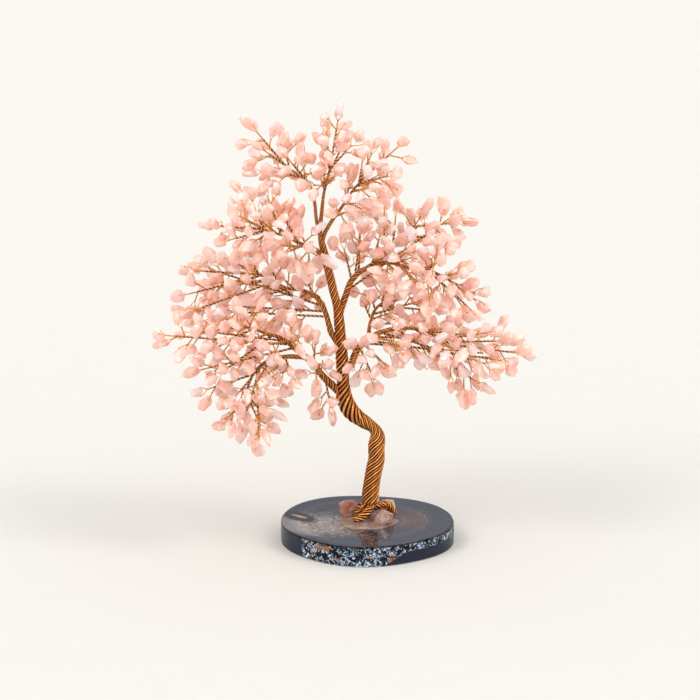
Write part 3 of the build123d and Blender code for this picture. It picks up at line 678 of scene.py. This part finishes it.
# Sprays: twigs, stalks, loops and chips of each limb
chipCount = 0
for limb in limbNames:
    rods = [rodEnds(corners) for corners, _ in solidsIn(f"{limb}_twigs")]
    line = stems[limb][:, :3]
    twigs, stalks = [], []
    for first, second, radius in rods:
        if radius > twigLook["leastRadius"]:
            near = [lengthOf(line - end).min() for end in (first, second)]
            twigs.append((first, second, radius) if near[0] < near[1] else (second, first, radius))
        else:
            stalks.append((first, second))
    parts = []
    for first, second, radius in twigs:
        heading = unit(second - first)
        start = first - twigLook["rootDepth"] * heading
        rings = int(lengthOf(second - start) / twigLook["step"]) + 2
        path = start + np.linspace(0, 1, rings)[:, None] * (second - start)
        widths = twigLook["thickness"] * radius * np.linspace(1, twigLook["taper"], rings)
        wires, radials, wireRadii = windings(path, widths, twigLook["strands"], twigLook["lay"], chipCount)
        parts.append(tubes(wires, radials, wireRadii, twigLook["sides"], twigLook["shades"]))
    twigStarts = np.array([twig[0] for twig in twigs])
    twigRuns = np.array([twig[1] - twig[0] for twig in twigs])
    stalks = np.array(stalks)
    inward = twigGap(stalks[:, 0], twigStarts, twigRuns) < twigGap(stalks[:, 1], twigStarts, twigRuns)
    starts = np.where(inward[:, None], stalks[:, 0], stalks[:, 1])
    ends = np.where(inward[:, None], stalks[:, 1], stalks[:, 0])
    headings = unit(ends - starts)
    starts = starts - stalkLook["rootDepth"] * headings
    shares = np.linspace(0, 1, stalkLook["rings"])
    paths = starts[:, None] + shares[:, None] * (ends - starts)[:, None]
    helper = unit(np.cross(headings, np.roll(headings, 1, axis=1) + 0.37))
    angles = 2 * math.pi * stalkLook["turnsPerLength"] * lengthOf(ends - starts)[:, None] * shares
    for turn in (0, math.pi):
        wires, radials = twist(paths, np.broadcast_to(helper[:, None], paths.shape),
                               np.full(paths.shape[:2], wireRadius), angles + turn)
        parts.append(tubes(wires, radials, wireRadius, stalkLook["sides"]))
    sprig = putMesh(f"{limb}Sprigs", parts, [sprayCopper])
    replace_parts(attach(sprig, limb), f"{limb}_twigs")

    solids = enumerate(solidsIn(f"{limb}_chips"), chipCount)
    rows = [chip(corners, triangles, seed) for seed, (corners, triangles) in solids]
    chipCount += len(rows)
    chips = [row[0] for row in rows]
    bores, axes, holes = (np.array([row[k] for row in rows]) for k in (1, 2, 3))
    caps = mouths(holes.reshape(-1, 3), (np.array([-1, 1])[:, None] * axes[:, None]).reshape(-1, 3))
    stones = putMesh(f"{limb}Chips", chips + [caps], [quartzMaterial, holeShadeMaterial], smooth=False)
    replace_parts(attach(stones, limb), f"{limb}_chips")

    ownEnds = ends[np.argmin(lengthOf(bores[:, None] - ends), axis=1)]
    legs = lengthOf(holes - bores[:, None]).max(axis=1) + loopLook["clearance"]
    eyes = putMesh(f"{limb}Loops", [loops(ownEnds, bores, axes, legs)], [sprayCopper])
    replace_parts(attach(eyes, limb), f"{limb}_loops")
print("chips", chipCount)

# Stones at the foot
stoneLook = {
    "rings": 18, "columns": 30, "unevenness": 0.02, "rippleSize": 1.1, "firstSeed": 61, "size": 0.98,
    "rounding": 80, "clouds": (260.0, 0.50, 0.60, 5.0), "cloudAndHighlightColour": (0.96, 0.93, 0.90, 1),
    "crackScale": 420.0, "crackStrength": 0.5, "crackDepth": 0.0009,
    "finish": {"IOR": 1.54, "Roughness": 0.04, "Coat Weight": 0.6},
    "stones": [("paleStone", (0.84, 0.62, 0.53, 1), 0.45, 0.8),  # colour, clearness, share of milky clouds and painted highlights
               ("brownStone", (0.58, 0.21, 0.13, 1), 0.45, 0.4),
               ("clearStone", (0.66, 0.38, 0.29, 1), 0.6, 0.3)],
}


def footStone(name, tone, clear, cloudAndHighlightShare):
    # glassy rough stone with milky clouds, whose white patches are partly painted highlights
    material, tree, shader = newMaterial(name)
    place = objectPlace(tree)
    # painted highlight: the crisp white clouds are partly milky quartz and partly highlights painted on
    cloud = times(tree, clouds(tree, place, *stoneLook["clouds"]), cloudAndHighlightShare)
    colour = mixColours(tree, cloud, tone, stoneLook["cloudAndHighlightColour"])
    cracks = addNode(tree, "ShaderNodeTexVoronoi", {"Vector": place, "Scale": stoneLook["crackScale"]})
    bump = addNode(tree, "ShaderNodeBump", {"Height": cracks.outputs["Distance"],
                                            "Strength": stoneLook["crackStrength"],
                                            "Distance": stoneLook["crackDepth"]})
    giveInputs(tree, shader, {"Base Color": colour, "Normal": bump.outputs["Normal"],
                              "Transmission Weight": clear} | stoneLook["finish"])
    return material


for number, stoneFinish in enumerate(stoneLook["stones"]):
    corners, triangles = solidsIn(f"foot_stone_{number + 1}")[0]
    normals, levels = flatSides(corners, triangles)[:2]
    middle = (corners.min(axis=0) + corners.max(axis=0)) / 2
    directions, faces = ballGrid(stoneLook["rings"], stoneLook["columns"])
    reach = worn(directions, normals, levels - normals @ middle, stoneLook["rounding"])
    rippled = ripple(directions, stoneLook["rippleSize"], stoneLook["firstSeed"] + number)
    reach *= stoneLook["size"] + stoneLook["unevenness"] * rippled
    part = {"points": middle + reach[:, None] * directions, "faces": faces}
    stone = putMesh(f"footStone{number + 1}", [part], [footStone(*stoneFinish)])
    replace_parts(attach(stone, "stand"), f"foot_stone_{number + 1}")

# Glue: a clear puddle, thick in the middle and thin at its edge
glueLook = {
    "columns": 72, "rings": 12, "innerShare": 0.08, "reachShare": 0.99, "leastReach": 0.7,
    "height": 1.4 * mm, "lift": 0.03 * mm, "under": 0.02 * mm, "underShares": [0.99, 0.5],
    "clouds": (300.0, 0.4, 0.7), "colours": ((0.36, 0.225, 0.18, 1), (0.52, 0.38, 0.33, 1)),
    "finish": {"Alpha": 0.55, "IOR": 1.48, "Roughness": 0.06},
}


def outlineOf(corners, centre, turns):
    # distance from a centre to the outermost corner near each direction
    flat = corners[:, :2] - centre[:2]
    bearing = np.arctan2(flat[:, 1], flat[:, 0])
    reach = lengthOf(flat)
    off = np.abs((bearing[:, None] - turns + math.pi) % (2 * math.pi) - math.pi)
    return np.where(off < 2.2 * math.pi / len(turns), reach[:, None], 0).max(axis=0)


def glueShape():
    # the puddle's outline in rings, as high as 1 - share cubed, closed just below
    look = glueLook
    turns = turnsOf(look["columns"])
    reach = outlineOf(nodeShape("foot_glue")[0], foot, turns)
    reach = np.where(reach > look["leastReach"] * reach.max(), reach, np.median(reach))
    outline = look["reachShare"] * reach[:, None] * np.stack([np.cos(turns), np.sin(turns)], axis=1)
    shares = np.linspace(look["innerShare"], 1, look["rings"])
    heights = np.append(look["height"] * (1 - shares ** 3), [-look["under"]] * 2)
    part = lathe(outline, np.append(shares, look["underShares"]), heights + look["lift"])
    part["points"] += ground
    return part


glue = putMesh("gluePuddle", [glueShape()], [cloudedMaterial("clearGlue", glueLook)])
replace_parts(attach(glue, "stand"), "foot_glue")

# Agate slice: polished top, rough rind
agateLook = {
    "columns": 420, "topRings": 24, "sideRings": 18, "rimRings": 5, "rimRound": 0.5 * mm,
    "innerShare": 0.03, "underShares": [0.6, 0.1], "sideFrom": 0.8, "rindDepth": 0.8 * mm,
    "rindFrom": -0.036, "rindRun": 2 * mm, "smoothFrom": 0.006, "smoothRun": 0.018, "smoothTop": 0.0068,
    "smoothFade": 1 * mm, "coarseGrain": (3.0 * mm, 5), "fineGrain": (1.2 * mm, 6),
    "grainShares": (0.5, 0.4, 0.35), "mostGrain": 1.2, "rimSlack": 0.2 * mm,
}
sliceCorners = nodeShape("agate_slice")[0]
sliceTop = sliceCorners[:, 2].max()


def agateShape():
    # the outline drawn in rings: flat top, rounded rim, a rind pushed in by ripples, flat underside
    look, top = agateLook, sliceTop
    turns = turnsOf(look["columns"])
    onRim = (sliceCorners[:, 2] > look["rimSlack"]) & (sliceCorners[:, 2] < top - look["rimSlack"])
    rim = sliceCorners[onRim]
    bearing = np.arctan2(rim[:, 1], rim[:, 0])
    order = np.argsort(bearing)
    reach = np.interp(turns, bearing[order] % (2 * math.pi), lengthOf(rim[order, :2]),
                      period=2 * math.pi)
    outline = reach[:, None] * np.stack([np.cos(turns), np.sin(turns)], axis=1)
    size = reach.mean()
    bend = np.linspace(0, math.pi / 2, look["rimRings"])
    rimShares = 1 - look["rimRound"] / size * (1 - np.sin(bend))
    rimHeights = top - look["rimRound"] * (1 - np.cos(bend))
    sides = np.linspace(1, 0, look["sideRings"])[1:-1]
    sideHeights = sides * (top - 2 * look["rimRound"]) + look["rimRound"]
    topShares = np.linspace(look["innerShare"], 1, look["topRings"])[:-1] * rimShares[0]
    shares = np.concatenate([topShares, rimShares, np.ones(len(sides)), rimShares[::-1],
                             look["underShares"]])
    heights = np.concatenate([np.full(len(topShares), top), rimHeights, sideHeights,
                              top - rimHeights[::-1], [0, 0]])
    part = lathe(outline, shares, heights)
    points = part["points"]
    quads, caps = part["faces"]
    onFace = look["columns"] * (look["topRings"] + 1)
    face = {"points": points, "faces": [quads[:onFace], caps[:look["columns"]]]}
    rindFaces = [quads[onFace:] - len(points), caps[look["columns"]:] - len(points)]
    rind = {"points": points[:0], "faces": rindFaces, "material": 1}  # on the face's own points
    level = points[:, 2] / top
    onSide = np.clip(4 * level * (1 - level), 0, 1) ** 0.5
    onSide = onSide * (lengthOf(points[:, :2]) > look["sideFrom"] * size)
    smoothTop = look["smoothTop"] * np.clip((points[:, 0] - look["smoothFrom"])
                                                 / look["smoothRun"], 0, 1)
    rough = np.clip((points[:, 0] - look["rindFrom"]) / look["rindRun"], 0, 1)
    rough = rough * np.clip((points[:, 2] - smoothTop) / look["smoothFade"], 0, 1)
    base, coarse, fine = look["grainShares"]
    grain = (base + coarse * ripple(points, *look["coarseGrain"])
             + fine * ripple(points, *look["fineGrain"]))
    depth = look["rindDepth"] * onSide * rough * np.clip(grain, 0, look["mostGrain"])
    points[:, :2] -= depth[:, None] * unit(points[:, :2])
    return [face, rind]


def buildOval():
    # distance from a centre in a slanted oval's own measure, 1 on its rim
    group, given, result = makeGroup("slantedOval", {"Place": (0, 0, 0), "Centre": (0, 0, 0), "Slant": 0.0,
                                                     "Size": (1, 1, 1)}, {"Far": 0.0})
    away = vectorMaths(group, "SUBTRACT", given.outputs["Place"], given.outputs["Centre"])[0]
    turned = addNode(group, "ShaderNodeVectorRotate", {"Vector": away, "Angle": given.outputs["Slant"]},
                     rotation_type="Z_AXIS")
    flat = vectorMaths(group, "MULTIPLY", turned.outputs[0], (1, 1, 0))[0]
    scaled = vectorMaths(group, "DIVIDE", flat, given.outputs["Size"])[0]
    group.links.new(vectorMaths(group, "LENGTH", scaled)["Value"], result.inputs["Far"])
    return group


slantedOval = buildOval()


swirlLook = {"noise": (42.0, 3.0), "reach": (0.010, 0.010, 0.0)}
faceLook = {
    "outline": {"Centre": (0.0, 0.0, 0.0), "Size": (0.0475, 0.048, 1)},
    "rings": {"Centre": (0.004, 0.0, 0.0), "Size": (0.0475, 0.048, 1)},
    "pale": {"Centre": (-0.026, -0.006, 0.0), "Slant": 0.25, "Size": (0.024, 0.020, 1)},
    "tan": {"Centre": (0.024, 0.004, 0.0), "Size": (0.011, 0.020, 1)},
    "eye": {"Centre": (-0.0375, 0.0085, 0.0), "Slant": math.radians(62), "Size": (0.0118, 0.0062, 1)},
    "slit": {"Centre": (-0.0375, 0.0085, 0.0), "Slant": math.radians(44), "Size": (0.0058, 0.0019, 1)},
    "broadBands": (23.0, 0.6), "fineBands": (95.0, 0.4),  # waves from middle to rim, and their share
    "grain": (330.0, 0.47, 0.66, 6.0), "grainPlace": (1.5, 0.5, 0.04, 0.6),
    "specks": (760.0, 0.56, 0.66, 3.0), "speckShare": 0.3,
    "paleRim": (1.3, 0.8), "rimPlace": (0.70, 0.86), "rimShare": 0.55,
    "base": (0.036, 0.036, 0.052, 1),
    "layers": [  # what a layer follows, its fade if it has one, and its colour
        ("pale", (1.25, 0.45), (0.24, 0.205, 0.19, 1)),
        ("tan", (1.2, 0.3, 0, 0.75), (0.13, 0.072, 0.048, 1)),
        ("bands", (0.1, 0.9, 0, 0.15), (0.28, 0.27, 0.28, 1)),
        ("bands", (-0.2, -0.9, 0, 0.35), (0.012, 0.013, 0.022, 1)),
        ("grain", None, (0.46, 0.43, 0.41, 1)),
        ("specks", None, (0.015, 0.012, 0.015, 1)),
        ("outline", (0.78, 0.97, 0, 0.7), (0.018, 0.024, 0.046, 1)),
        ("rim", None, (0.30, 0.265, 0.25, 1)),
        ("eye", (1.3, 1.05, 0, 0.6), (0.06, 0.062, 0.075, 1)),
        ("eye", (1.0, 0.88), (0.002, 0.002, 0.004, 1)),
        ("eye", (0.80, 0.55, 0, 0.8), (0.018, 0.020, 0.030, 1)),
        ("slit", (1.1, 0.6), (0.45, 0.20, 0.08, 1)),
        ("slit", (0.45, 0.15, 0, 0.8), (0.72, 0.52, 0.36, 1))],
    "finish": {"Roughness": 0.05, "IOR": 1.54},
}


def agateFace(tree):
    # polished face: bands round a middle, pale on the left, blue-black at the rim, one dark eye
    look, place = faceLook, objectPlace(tree)
    colours = noise(tree, place, *swirlLook["noise"])["Color"]
    off = vectorMaths(tree, "SUBTRACT", colours, (0.5, 0.5, 0.5))[0]
    swirled = vectorMaths(tree, "MULTIPLY_ADD", off, swirlLook["reach"], place)[0]
    fields = {name: useGroup(tree, slantedOval, Place=swirled, **look[name])["Far"]
              for name in ("rings", "pale", "tan", "eye", "slit")}
    fields["outline"] = useGroup(tree, slantedOval, Place=place, **look["outline"])["Far"]
    waves = []
    for pitch, share in (look["broadBands"], look["fineBands"]):
        wave = maths(tree, "SINE", times(tree, fields["rings"], pitch))
        waves.append(times(tree, wave, share))
    fields["bands"] = maths(tree, "ADD", *waves)
    fields["grain"] = times(tree, clouds(tree, place, *look["grain"]),
                            fade(tree, fields["pale"], *look["grainPlace"]))
    fields["specks"] = times(tree, clouds(tree, place, *look["specks"]),
                             look["speckShare"])
    rim = times(tree, fade(tree, fields["pale"], *look["paleRim"]),
                fade(tree, fields["outline"], *look["rimPlace"]))
    fields["rim"] = times(tree, rim, look["rimShare"])
    face = look["base"]
    for field, reach, tone in look["layers"]:
        mask = fade(tree, fields[field], *reach) if reach else fields[field]
        face = mixColours(tree, mask, face, tone)
    return face


rindLook = {
    "smoothEdge": (-0.0004, 0.0006), "rindEdge": (-0.0005, 0.0010), "frontEdge": (0.006, -0.004),
    "backPatches": (60.0, 0.5, 0.56), "crystals": (430.0, 4.0, 1.4), "crystalLevels": (0.47, 0.62),
    "glints": (1100.0, 2.0), "glintLevels": (0.40, 0.64), "rust": (260.0, 0.61, 0.68, 4.0),
    "rustStretch": (0.5, 0.5, 1.1), "rustShare": 0.9, "rustColour": (0.33, 0.115, 0.034, 1),
    "polished": (0.018, 0.022, 0.038, 1), "hollows": (0.003, 0.0035, 0.006, 1),
    "blue": (0.07, 0.16, 0.30, 1), "white": (0.74, 0.80, 0.86, 1),
    "underTop": (-0.0016, -0.0007), "underTopShare": 0.9, "underTopColour": (0.004, 0.004, 0.006, 1),
    "footEdge": (0.0007, 0.0002), "footColour": (0.24, 0.26, 0.25, 1),
    "roughness": (0.25, 0.5), "specular": 0.12,
}


def agateRind(tree):
    # side: blue-black, with a crust of pale blue crystals and rust, smooth at the left and lower right
    place = objectPlace(tree)
    look = rindLook
    across, depth, height = addNode(tree, "ShaderNodeSeparateXYZ", {0: place}).outputs
    smoothEnd = agateLook["smoothFrom"] + agateLook["smoothRun"]
    smoothTop = fade(tree, across, agateLook["smoothFrom"], smoothEnd, 0.0, agateLook["smoothTop"])
    above = fade(tree, maths(tree, "SUBTRACT", height, smoothTop), *look["smoothEdge"])
    rindEdge = [agateLook["rindFrom"] + edge for edge in look["rindEdge"]]
    front = times(tree, above, fade(tree, across, *rindEdge))
    front = times(tree, front, fade(tree, depth, *look["frontEdge"]))
    back = times(tree, clouds(tree, place, *look["backPatches"]),
                 fade(tree, depth, *look["frontEdge"][::-1]))
    crust = maths(tree, "MAXIMUM", front, back)
    crystals = noise(tree, place, *look["crystals"])[0]
    shine = times(tree, crust, fade(tree, crystals, *look["crystalLevels"]))
    glints = fade(tree, noise(tree, place, *look["glints"])[0], *look["glintLevels"])
    stretched = vectorMaths(tree, "MULTIPLY", place, look["rustStretch"])[0]
    rust = times(tree, clouds(tree, stretched, *look["rust"]),
                 times(tree, crust, look["rustShare"]))
    underTop = fade(tree, height, *[sliceTop + edge for edge in look["underTop"]])
    underTop = times(tree, underTop, look["underTopShare"])
    colour = mixColours(tree, crust, look["polished"], look["hollows"])
    colour = mixColours(tree, shine, colour, mixColours(tree, glints, look["blue"], look["white"]))
    colour = mixColours(tree, rust, colour, look["rustColour"])
    colour = mixColours(tree, underTop, colour, look["underTopColour"])
    colour = mixColours(tree, fade(tree, height, *look["footEdge"]), colour, look["footColour"])
    return colour, fade(tree, crust, 0, 1, *look["roughness"])


def agateMaterials():
    # the polished face mirrors, the rind hardly shines
    faceMaterial, tree, shader = newMaterial("agateFace")
    giveInputs(tree, shader, {"Base Color": agateFace(tree)} | faceLook["finish"])
    rindMaterial, tree, shader = newMaterial("agateRind")
    colour, rough = agateRind(tree)
    giveInputs(tree, shader, {"Base Color": colour, "Roughness": rough,
                              "Specular IOR Level": rindLook["specular"]})
    return [faceMaterial, rindMaterial]


agate = putMesh("agateSlab", agateShape(), agateMaterials())
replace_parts(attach(agate, "stand"), "agate_slice")
print("foot done")

# Stage: cream floor, soft light from all round and above, and the camera at the photograph's angle
floorLook = {"half": 6.0, "below": 0.02 * mm, "clouds": (30.0, 0.3, 0.7),
             "colours": ((0.608, 0.603, 0.582, 1), (0.60557, 0.60059, 0.57967, 1)),
             "finish": {"Roughness": 1.0, "Specular IOR Level": 0.0}}
lightLook = {
    "overhead": (1.20, 1.18, 1.15, 1), "horizon": (1.30, 1.28, 1.25, 1), "overheadFrom": (0.05, 0.6),
    "backdrop": (0.40, 0.41, 0.44, 1), "backdropFrom": (0.35, 0.75), "backdropTop": (0.62, 0.38),
    "boxes": ((-0.55, -0.45, 0.70), (0.60, -0.30, 0.74)), "boxEdge": (0.972, 0.990),
    "boxColour": (9.0, 8.8, 8.4, 1), "keyHeading": (0.55, 0.6, -0.9), "keyStrength": 0.25,
    "keyAngle": math.radians(40),
}


def studioWorld():
    # soft light, a little brighter at the horizon, a darker backdrop behind and two small bright boxes
    look, world = lightLook, bpy.data.worlds.new("studio")
    world.use_nodes = True
    tree = world.node_tree
    heading = addNode(tree, "ShaderNodeTexCoord").outputs["Generated"]
    _, ahead, up = addNode(tree, "ShaderNodeSeparateXYZ", {0: heading}).outputs
    colour = mixColours(tree, fade(tree, up, *look["overheadFrom"]), look["horizon"],
                        look["overhead"])
    behind = times(tree, fade(tree, ahead, *look["backdropFrom"]),
                   fade(tree, up, *look["backdropTop"]))
    colour = mixColours(tree, behind, colour, look["backdrop"])
    for way in look["boxes"]:
        facing = vectorMaths(tree, "DOT_PRODUCT", heading, way)["Value"]
        colour = mixColours(tree, fade(tree, facing, *look["boxEdge"]), colour, look["boxColour"])
    tree.links.new(colour, tree.nodes["Background"].inputs["Color"])
    return world


floorCorners = floorLook["half"] * np.array([[-1, -1, 0], [1, -1, 0], [1, 1, 0], [-1, 1, 0]])
floorPart = {"points": floorCorners - (0, 0, floorLook["below"]), "faces": [np.array([[0, 1, 2, 3]])]}
floor = putMesh("floor", [floorPart], [cloudedMaterial("creamFloor", floorLook)])
scene.world = studioWorld()

lamp = bpy.data.lights.new("keyLight", "SUN")
lamp.energy = lightLook["keyStrength"]
lamp.angle = lightLook["keyAngle"]
key = bpy.data.objects.new("keyLight", lamp)
across, ahead, up = lightLook["keyHeading"]
key.rotation_euler = (math.atan2(math.hypot(across, ahead), -up), 0, math.atan2(across, -ahead) + math.pi)
scene.collection.objects.link(key)

cameraLook = {"target": (-0.0096, 0.02905, 0.1013), "distance": 5.0, "elevation": math.radians(16),
              "sensor": 36.0, "frameWidth": 0.385, "farEnd": 30.0}
lens = bpy.data.cameras.new("camera")
lens.sensor_width = cameraLook["sensor"]
lens.lens = cameraLook["sensor"] * cameraLook["distance"] / cameraLook["frameWidth"]
lens.clip_end = cameraLook["farEnd"]
camera = bpy.data.objects.new("camera", lens)
rise = cameraLook["elevation"]
back = cameraLook["distance"] * np.array([0, -math.cos(rise), math.sin(rise)])
camera.location = np.array(cameraLook["target"]) + back
camera.rotation_euler = (math.pi / 2 - rise, 0, 0)
scene.collection.objects.link(camera)
scene.camera = camera
scene.view_settings.view_transform = "Standard"
